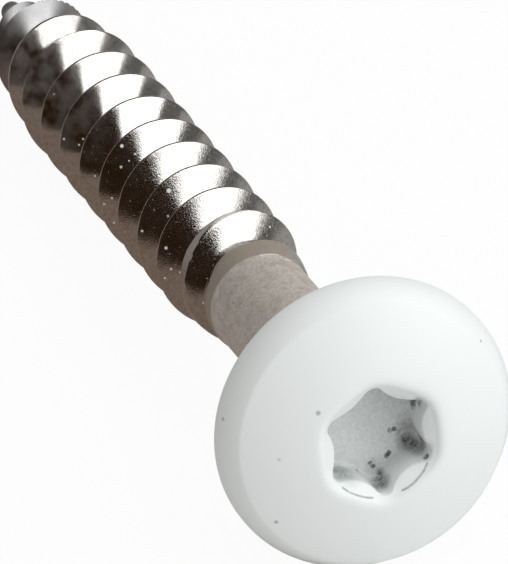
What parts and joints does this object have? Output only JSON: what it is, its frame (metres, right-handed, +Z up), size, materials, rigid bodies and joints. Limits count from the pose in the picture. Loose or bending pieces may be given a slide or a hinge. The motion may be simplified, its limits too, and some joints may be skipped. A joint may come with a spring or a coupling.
{
  "type": "star drive screw",
  "caption": "Pan-type wood screw with a coated low domed head, a six-lobe socket, a plain neck and a coarse right-hand thread that tapers to a gimlet point.",
  "frame": {"origin": "on the ground below the middle of the lying screw", "axes": "+Z up; +X along the screw from its head towards its point, which it lies on with the axis 5 degrees off level"},
  "size_m": [0.0374, 0.0096, 0.0096],
  "materials": {
    "steel": "bright rolled stainless thread, dull neck, coated head",
    "coat": "smooth white coat on the head and in the mouth of its socket"
  },
  "bodies": {
    "root": {"screw": "steel"}
  },
  "joints": []
}
